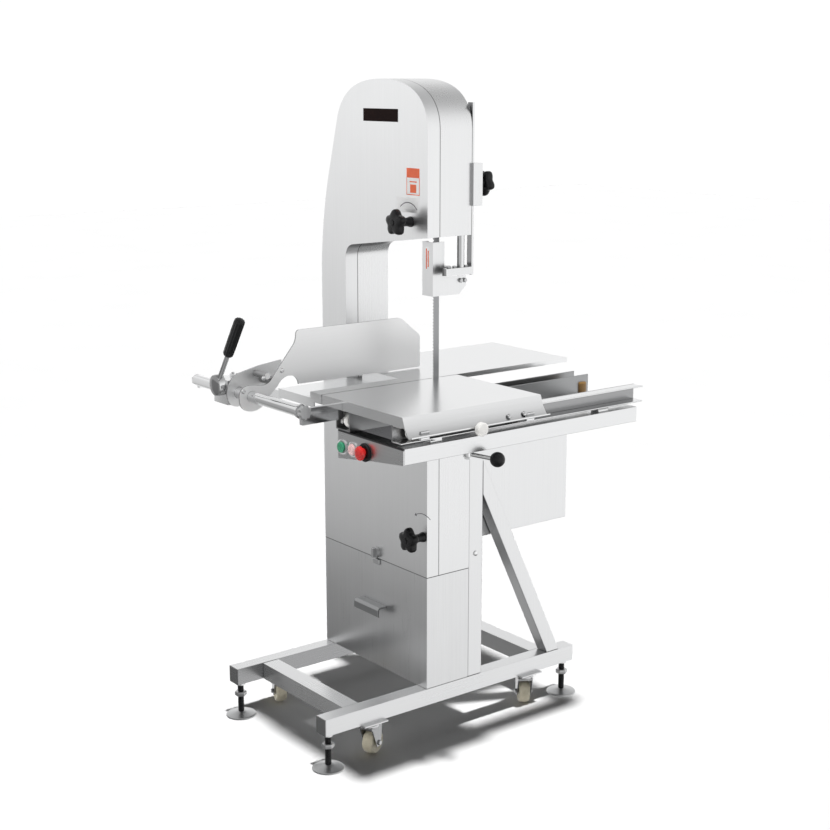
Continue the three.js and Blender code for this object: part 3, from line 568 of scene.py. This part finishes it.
label("name_badge", -259, -117, 1577, 1608, badge, lift=0.8)
label("caution_card", -83, -30, 1404, 1470, card)
label("caution_band", -82, -31, 1446, 1469, orange, lift=RAISED)
label("caution_edge_left", -82.5, -80.5, 1405, 1446, orange, lift=RAISED)
label("caution_edge_right", -32.5, -30.5, 1405, 1446, orange, lift=RAISED)
label("caution_edge_low", -82.5, -30.5, 1404.5, 1406.5, orange, lift=RAISED)
label("caution_mark", -68, -44, 1410, 1430, orange, lift=RAISED)
label("caution_rule", -70, -42, 1435, 1438, orange, lift=RAISED)
label("dial_card", -121, -34, 1362, 1399, card)
arc_band("dial_arc", -76, 1340, 46, 2.2, 40, 132)
arc_band("turn_arc", -16, 552, 60, 1.8, 60, 118, arrow=4)
label("guard_tag", -61, -46, 1220, 1276, card, body="guard", face=42)
label("guard_tag_band", -59, -55, 1223, 1273, orange, body="guard", face=42, lift=RAISED)
label("guard_tag_rule", -52, -48, 1228, 1268, orange, body="guard", face=42, lift=RAISED)

# ---- Push buttons --------------------------------------------------------------------------------
panel_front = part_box("control_panel")[0].y


def on_panel(node):
    middle = centre(node)
    return Vector((middle.x, panel_front, middle.z))


start_spot, stop_spot = on_panel("start_button"), on_panel("stop_button")
start_dome = [(0, -14), (10.6, -14), (10.6, 3), (12.4, 3.6), (13, 5), (13, 7.4), (12, 8.6), (8, 9.2),
              (0, 9.4)]
start_cap = turned("start_cap", start_dome, start_spot, FRONT, green, "start")
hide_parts("start_button")
stop_dome = [(0, -14), (10.6, -14), (10.6, 12), (15.6, 12.4), (17, 14), (17, 17), (15.6, 20.4), (12, 22.8),
             (6, 24), (0, 24.3)]
stop_mushroom = turned("stop_mushroom", stop_dome, stop_spot, FRONT, red, "stop")
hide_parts("stop_button")
collar = [(13.4, 0), (18.5, 0), (18.5, 2.4), (17, 3.4), (14.4, 3.6), (13.4, 3.0), (13.4, 0)]
ring("start_collar", collar, start_spot, FRONT, bright, "machine")
stop_collar = [(11.4, 0), (22, 0), (22, 3.5), (20, 5.6), (12.6, 6.5), (11.4, 6.1), (11.4, 0)]
ring("stop_collar", stop_collar, stop_spot, FRONT, black, "machine")
lens_spot = start_spot.lerp(stop_spot, 0.47)
lens = [(0, 0), (13, 0), (13, 5), (11.5, 8), (7, 9.6), (0, 10)]
turned("indicator_lens", lens, lens_spot, FRONT, pale_lens, "machine")
ring("indicator_collar", collar, lens_spot, FRONT, bright, "machine")

# ---- Table: rollers, stop knob, lock lever, bolts ------------------------------------------------
ROLLERS = {
    "left_roller_front": "roller_lf",
    "left_roller_rear": "roller_lr",
    "right_roller_front": "roller_rf",
    "right_roller_rear": "roller_rr",
}
for node, body in ROLLERS.items():
    low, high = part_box(node)
    radius, half = (high.z - low.z) / 2 / MM, (high.x - low.x) / 2 / MM
    tread = [(4.4, -half), (radius - 2, -half), (radius, -half + 2), (radius, half - 2), (radius - 2, half),
             (radius * 0.62, half), (radius * 0.58, half - 1.5), (8, half - 1.5), (7, half), (4.4, half),
             (4.4, -half)]
    wheel = ring(node + "_nylon", tread, centre(node), RIGHT, pale_nylon, body)
    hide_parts(node)

stop_low, stop_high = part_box("table_stop_knob")
stop_centre = Vector((stop_high.x, (stop_low.y + stop_high.y) / 2, (stop_low.z + stop_high.z) / 2))
stop_disc = [(0, -38), (4, -38), (4, -14), (15, -14), (16, -12.6), (16, -2), (14.6, -0.4), (9, 0), (0, 0.3)]
table_stop = turned("table_stop_disc", stop_disc, stop_centre, RIGHT, pale_nylon, "table_stop")
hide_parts("table_stop_knob")

ball_radius = 18
ball_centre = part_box("table_lock_lever")[1] - Vector((1, 1, 1)) * ball_radius * MM
pivot = at(238, -68, 829)
lever_shape = bmesh.new()
ball_angles = [math.pi * i / 24 for i in range(1, 24)]
ball_profile = [(0, -ball_radius),
                *((ball_radius * math.sin(angle), -ball_radius * math.cos(angle)) for angle in ball_angles),
                (0, ball_radius)]
add_turned(lever_shape, ball_profile, ball_centre, UP, sides=48)
ball = finished("table_lock_ball", lever_shape, black, "table_lock", sharp=60)
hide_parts("table_lock_lever")
arm_shape = bmesh.new()
reach = (ball_centre - pivot).length / MM
add_turned(arm_shape, rounded(5, 0, reach, 1.0), pivot, (ball_centre - pivot).normalized(), sides=32)
add_turned(arm_shape, rounded(11, -7, 5.5, 1.2), pivot, UP)
add_hex(arm_shape, pivot - UP * 12 * MM, UP, 15, 6)
finished("table_lock_arm", arm_shape, bright, "table_lock")

skirt_outward = Vector((0.75, 0, 0.66))
bolt_head = [(0, 0), (6, 0), (6, 1.5), (4.2, 3.4), (0, 4)]
bolts = bmesh.new()
for y in (26, 73):
    add_turned(bolts, bolt_head, at(276.5, y, 912), skirt_outward, sides=32)
finished("table_edge_bolts", bolts, bright, "table")

turned("travel_buffer", rounded(14, 0, 30, 4), at(46, 478, 873), UP, amber, "machine")

# ---- Clamp lever ---------------------------------------------------------------------------------
hub_spot = at(-286, -414.3, 952)
hub_shape = bmesh.new()
hub = [(0, 0), (26, 0), (26, 14), (25, 18), (21, 20.6), (12, 22), (0, 22.4)]
add_turned(hub_shape, hub, hub_spot, FRONT)
lever_dir = Vector((0.55, 0, 0.835)).normalized()
lever_start = at(-286, -425, 952)
add_turned(hub_shape, [(0, 18), (7, 18), (6, 30), (6, 104), (0, 104)], lever_start, lever_dir, sides=32)
finished("clamp_hub_and_shaft", hub_shape, bright_up, "fence_clamp")
grip_shape = bmesh.new()
grip = [(0, 98), (10, 98), (12, 100), (13.2, 104), (13.5, 150), (13.5, 203), (12.6, 206.4), (10, 208),
        (0, 208.4)]
add_turned(grip_shape, grip, lever_start, lever_dir, sides=96, lobes=(12, 0.10, 0))
clamp_grip = finished("clamp_grip", grip_shape, black, "fence_clamp", sharp=50)
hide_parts("fence_clamp_lever")

# ---- Fence fasteners -----------------------------------------------------------------------------
screws = bmesh.new()
for y, z in ((-300, 988), (-410, 950), (-352, 975)):
    add_turned(screws, [(0, 0), (6, 0), (6, 1.6), (3.8, 3.6), (0, 4)], at(-190, y, z), RIGHT, sides=32)
finished("fence_screws", screws, bright, "fence")
FENCE_ROD_Y, FENCE_ROD_Z = -384.4, 934
rod_end = at(0, FENCE_ROD_Y, FENCE_ROD_Z)
rod_end.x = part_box("fence_rod")[1].x
end_shape = bmesh.new()
add_turned(end_shape, [(0, -4), (17, -4), (18, -2), (18, 4), (16, 6), (0, 6)], rod_end, RIGHT, sides=72,
           lobes=(9, 0.16, 0))
finished("rod_end_cap", end_shape, foot_steel, "machine")
ring("rod_end_washer", [(14.3, -18), (17, -18), (17, -13), (14.3, -13), (14.3, -18)], rod_end, RIGHT, bright,
     "machine")
nuts = bmesh.new()
for x in (-300, -278):
    add_hex(nuts, at(x, -372, 966), UP, 15, 7)
    add_turned(nuts, rounded(4, 0, 11, 0.6), at(x, -372, 966), UP, sides=24)
finished("carriage_bolts", nuts, bright, "fence_slider")

# ---- Keeper of the bin's latch -------------------------------------------------------------------
block("bin_keeper", at(-226, -5, 431), at(-198, 0.05, 446), foot_steel, "bin", bevel=0.002)

# ---- Guard and guide fasteners -------------------------------------------------------------------
guard_bolts = bmesh.new()
for y in (129, 142):
    add_hex(guard_bolts, at(-32, y, 1190), RIGHT, 11, 6)
for y in (74, 92, 128):
    add_hex(guard_bolts, at(-9, y, 1226), UP, 12, 5)
finished("guard_bolts", guard_bolts, foot_steel, "guard")

# ---- Saw blade: a toothed endless band -----------------------------------------------------------
blade_low, blade_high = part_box("saw_blade")
BAND_RADIUS = (blade_high.x - blade_low.x) / 2
BAND_X = (blade_high.x + blade_low.x) / 2
TOP_Z, LOW_Z = blade_high.z - BAND_RADIUS, blade_low.z + BAND_RADIUS
STRAIGHT = TOP_Z - LOW_Z
BAND_LENGTH = 2 * STRAIGHT + 2 * math.pi * BAND_RADIUS
TOOTH = 8.0 * MM
GULLET = 4.0 * MM
BAND_INNER_RADIUS = 160.3 * MM
THICK = BAND_RADIUS - BAND_INNER_RADIUS


def along_band(distance):
    """The place and the outward direction of the band, `distance` round from the foot of its cutting run."""
    s = distance % BAND_LENGTH
    arc = math.pi * BAND_RADIUS
    if s < STRAIGHT:
        return Vector((BAND_X + BAND_RADIUS, 0, LOW_Z + s)), RIGHT
    if s < STRAIGHT + arc:
        angle = (s - STRAIGHT) / BAND_RADIUS
        out = Vector((math.cos(angle), 0, math.sin(angle)))
        return Vector((BAND_X, 0, TOP_Z)) + out * BAND_RADIUS, out
    if s < 2 * STRAIGHT + arc:
        return Vector((BAND_X - BAND_RADIUS, 0, TOP_Z - (s - STRAIGHT - arc))), -RIGHT
    angle = math.pi + (s - 2 * STRAIGHT - arc) / BAND_RADIUS
    out = Vector((math.cos(angle), 0, math.sin(angle)))
    return Vector((BAND_X, 0, LOW_Z)) + out * BAND_RADIUS, out


band = bmesh.new()
teeth = round(BAND_LENGTH / TOOTH)
stations = []
for i in range(teeth):
    for share, depth in ((0.0, 0.0), (0.2, GULLET), (0.6, GULLET * 0.8)):
        place, out = along_band((i + share) * BAND_LENGTH / teeth)
        inner = place - out * THICK
        row = []
        for spot, y in ((place, blade_low.y + depth), (place, blade_high.y), (inner, blade_high.y),
                        (inner, blade_low.y + depth)):
            row.append(band.verts.new(Vector((spot.x, y, spot.z))))
        stations.append(row)
for here, there in zip(stations, stations[1:] + stations[:1]):
    for k in range(4):
        band.faces.new((here[k], here[(k + 1) % 4], there[(k + 1) % 4], there[k]))
blade = finished("toothed_band", band, blade_steel, "machine", sharp=30)
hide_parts("saw_blade")

# ---- Casters -------------------------------------------------------------------------------------
CASTER_TRAIL = 14 * MM
roll_axes = {joint["name"]: joint.get("axis") for joint in frame["record"]["behaviour"]["joints"]}
for side in ("left", "right"):
    for end in ("front", "rear"):
        wheel_node = f"caster_wheel_{end}_{side}"
        wheel_body = f"caster_{end}_{side}"
        fork_body = f"fork_{end}_{side}"
        middle = centre(wheel_node)
        axle_line = Vector(roll_axes[wheel_body + "_roll"])
        rearward = UP.cross(axle_line)
        half_tread = [(4.4, 13), (8, 13.6), (9, 12), (19, 12), (21, 13.6), (25, 14.8), (28, 13.6), (30, 10),
                      (31, 4)]
        tread = [(radius, -aside) for radius, aside in half_tread] + half_tread[::-1] + [(4.4, -13)]
        wheel = ring(wheel_node + "_nylon", tread, middle, axle_line, cream, wheel_body)
        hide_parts(wheel_node)
        axle = bmesh.new()
        for outward in (axle_line, -axle_line):
            add_hex(axle, middle + outward * 19.6 * MM, outward, 13, 5)
        finished(f"caster_axle_nuts_{end}_{side}", axle, foot_steel, fork_body)
        swivel = middle - rearward * CASTER_TRAIL
        swivel.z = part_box(f"caster_fork_{end}_{side}")[1].z
        race = [(20, -13), (23.5, -12.4), (24.5, -9), (24.5, -6), (22, -3), (19, -2.5), (19, -13), (20, -13)]
        ring(f"caster_race_{end}_{side}", race, swivel, UP, bright, fork_body)

# ---- Levelling feet ------------------------------------------------------------------------------
THREAD_START, THREAD_PITCH, THREAD_TURNS, THREAD_END = 11, 2, 50, 112
NUT_START = 56
for side in ("left", "right"):
    for end in ("front", "rear"):
        node = f"foot_{end}_{side}"
        low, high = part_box(node)
        base_spot = Vector(((low.x + high.x) / 2, (low.y + high.y) / 2, 0))
        body = f"foot_{end}_{side}_screw"
        dish = [(0, 0), (39, 0), (40, 1), (40, 3.4), (39, 4.4), (35, 5.2), (27, 7.4), (19, 9.4), (14, 11),
                (12.5, 12), (0, 12)]
        pad = turned(node + "_pad", dish, base_spot, UP, foot_steel, body)
        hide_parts(node)
        thread = [(0, THREAD_START)]
        for i in range(THREAD_TURNS):
            z = THREAD_START + THREAD_PITCH * i
            thread += [(8, z + 0.4), (8, z + 0.8), (7.1, z + 1.4), (7.1, z + 1.8)]
        thread.append((0, THREAD_END))
        turned(node + "_thread", thread, base_spot, UP, black_thread, body, sides=32, sharp=25)
        nut = bmesh.new()
        add_hex(nut, base_spot + UP * NUT_START * MM, UP, 32, 12)
        finished(node + "_nut", nut, foot_steel, body, bevel=0.0006)

# ---- Small screw on the right post ---------------------------------------------------------------
screw_head = [(0, 0), (7, 0), (7, 1.5), (4.5, 3.5), (0, 4)]
turned("post_screw", screw_head, at(0, 160, 482), RIGHT, bright, "machine", sides=32)

# ---- Floor, light and camera ---------------------------------------------------------------------
floor_shape = bmesh.new()
bmesh.ops.create_grid(floor_shape, x_segments=1, y_segments=1, size=15)
floor = placed("floor", mesh_of("floor", floor_shape))
floor_paint = Surface("floor_paint", 0.9)
floor_cloud = floor_paint.noise((2.0, 2.0, 2.0), detail=3.0)
floor_paint.colour(floor_cloud, (0.90, 0.90, 0.90), (0.92, 0.92, 0.92))
floor.data.materials.append(floor_paint.material)
floor.visible_glossy = False

# The studio's white walls are seen by the camera and mirrored by the steel.
# Lamps alone light the matt surfaces.
world = bpy.data.worlds.new("studio")
bpy.context.scene.world = world
world.use_nodes = True
tree = world.node_tree
backdrop = tree.nodes["Background"]
axes = tree.nodes.new("ShaderNodeSeparateXYZ")
tree.links.new(tree.nodes.new("ShaderNodeTexCoord").outputs["Generated"], axes.inputs["Vector"])
around = ranged(tree, axes.outputs["Y"], -0.75, 0.1, 0.45, 1.0)
below = ranged(tree, axes.outputs["Z"], -0.85, -0.30, 0.18, 1.0)
above = ranged(tree, axes.outputs["Z"], 0.07, 0.30, 1.0, 0.90)
zenith = ranged(tree, axes.outputs["Z"], 0.35, 0.80, 1.0, 0.50)
path = tree.nodes.new("ShaderNodeLightPath")
inside = ranged(tree, path.outputs["Glossy Depth"], 1.0, 3.0, 1.0, 0.25)
walls = combined(tree, "MULTIPLY", around, below)
ceiling = combined(tree, "MULTIPLY", above, zenith)
room = combined(tree, "MULTIPLY", combined(tree, "MULTIPLY", walls, ceiling), inside)
seen = combined(tree, "MAXIMUM", room, path.outputs["Is Camera Ray"])
tree.links.new(seen, backdrop.inputs["Color"])
backdrop.inputs["Strength"].default_value = 1.02
world.cycles_visibility.diffuse = False


def glowing_card(name, corner, width, height, low, high):
    """A large upright grey board that glows, seen only in reflections, brighter towards its top."""
    across, up = RIGHT * width, UP * height
    shape = bmesh.new()
    shape.faces.new([shape.verts.new(v) for v in (corner, corner + across, corner + across + up, corner + up)])
    board = placed(name, mesh_of(name, shape))
    paint = bpy.data.materials.new(name)
    paint.use_nodes = True
    paint_tree = paint.node_tree
    glow = paint_tree.nodes.new("ShaderNodeEmission")
    split = paint_tree.nodes.new("ShaderNodeSeparateXYZ")
    paint_tree.links.new(paint_tree.nodes.new("ShaderNodeTexCoord").outputs["Object"], split.inputs["Vector"])
    grey = ranged(paint_tree, split.outputs["Z"], corner.z, corner.z + height, low, high)
    paint_tree.links.new(grey, glow.inputs["Color"])
    paint_tree.links.new(glow.outputs["Emission"], paint_tree.nodes["Material Output"].inputs["Surface"])
    board.data.materials.append(paint)
    board.visible_camera = False
    board.visible_diffuse = False
    board.visible_shadow = False


# Glowing boards before the machine, seen only in reflections: they set the grey that the steel's front faces
# mirror, darkest low down and at the table's lip.
glowing_card("front_card", Vector((-3.6, -0.62, 0.15)), 4.0, 1.5, 0.42, 0.94)
glowing_card("front_card_high", Vector((-3.6, -0.62, 1.65)), 4.0, 1.0, 0.94, 1.0)
glowing_card("front_card_low", Vector((-3.6, -0.62, -0.6)), 4.0, 0.75, 0.02, 0.34)
glowing_card("lip_card", Vector((-0.42, -0.58, 0.62)), 0.80, 0.34, 0.20, 0.40)


def lamp_at(name, kind, place, target, power, blockers=(), receivers=(), **shape):
    """A lamp that mirrors don't see; blockers are what its shadow comes from and receivers what it lights."""
    light = bpy.data.lights.new(name, kind)
    light.energy = power
    for key, value in shape.items():
        setattr(light, key, value)
    lamp = placed(name, light)
    lamp.location = place
    lamp.rotation_euler = (target - place).to_track_quat("-Z", "Y").to_euler()
    lamp.visible_glossy = False
    for role, pieces in (("blocker_collection", blockers), ("receiver_collection", receivers)):
        if pieces:
            group = bpy.data.collections.new(name + "_" + role)
            for piece in pieces:
                group.objects.link(piece)
            setattr(lamp.light_linking, role, group)


# The key light's shadow is the one of the stand and the tables, without the tall head's streak across the floor.
SHADE_STARTS = ("base_", "post_", "brace_", "frame_rail", "table_", "sliding", "fixed", "waste", "foot_",
                "caster_")
machine_pieces = [piece for piece in bpy.context.scene.objects if piece.type == "MESH" and piece != floor]
shade_makers = [piece for piece in machine_pieces if piece.name.startswith(SHADE_STARTS)]
lamp_at("sun_overhead", "SUN", Vector((0.9, 0, 4)), Vector((0, 0, 0)), 3.6, blockers=shade_makers,
        angle=math.radians(3.5))
machine_middle = Vector((0, 0, 0.9))
for name, place, power, width, height in (("side_right", Vector((3.6, -0.6, 2.0)), 20, 2.5, 2.5),
                                          ("fill_front", Vector((-0.6, -4.0, 0.7)), 75, 3.0, 2.0),
                                          ("fill_rear", Vector((-1.5, 4.0, 2.4)), 20, 3.0, 2.0)):
    lamp_at(name, "AREA", place, machine_middle, power, receivers=machine_pieces, shape="RECTANGLE", size=width,
            size_y=height)

CAMERA_DOWN, CAMERA_TURN = 12.56, 52.23
camera = placed("camera", bpy.data.cameras.new("camera"))
camera.data.sensor_width = 36
camera.data.lens = 65.43
camera.location = at(2852, -2248, 1679)
camera.rotation_euler = (math.radians(90 - CAMERA_DOWN), 0, math.radians(CAMERA_TURN))
bpy.context.scene.camera = camera
bpy.context.scene.view_settings.view_transform = "Standard"
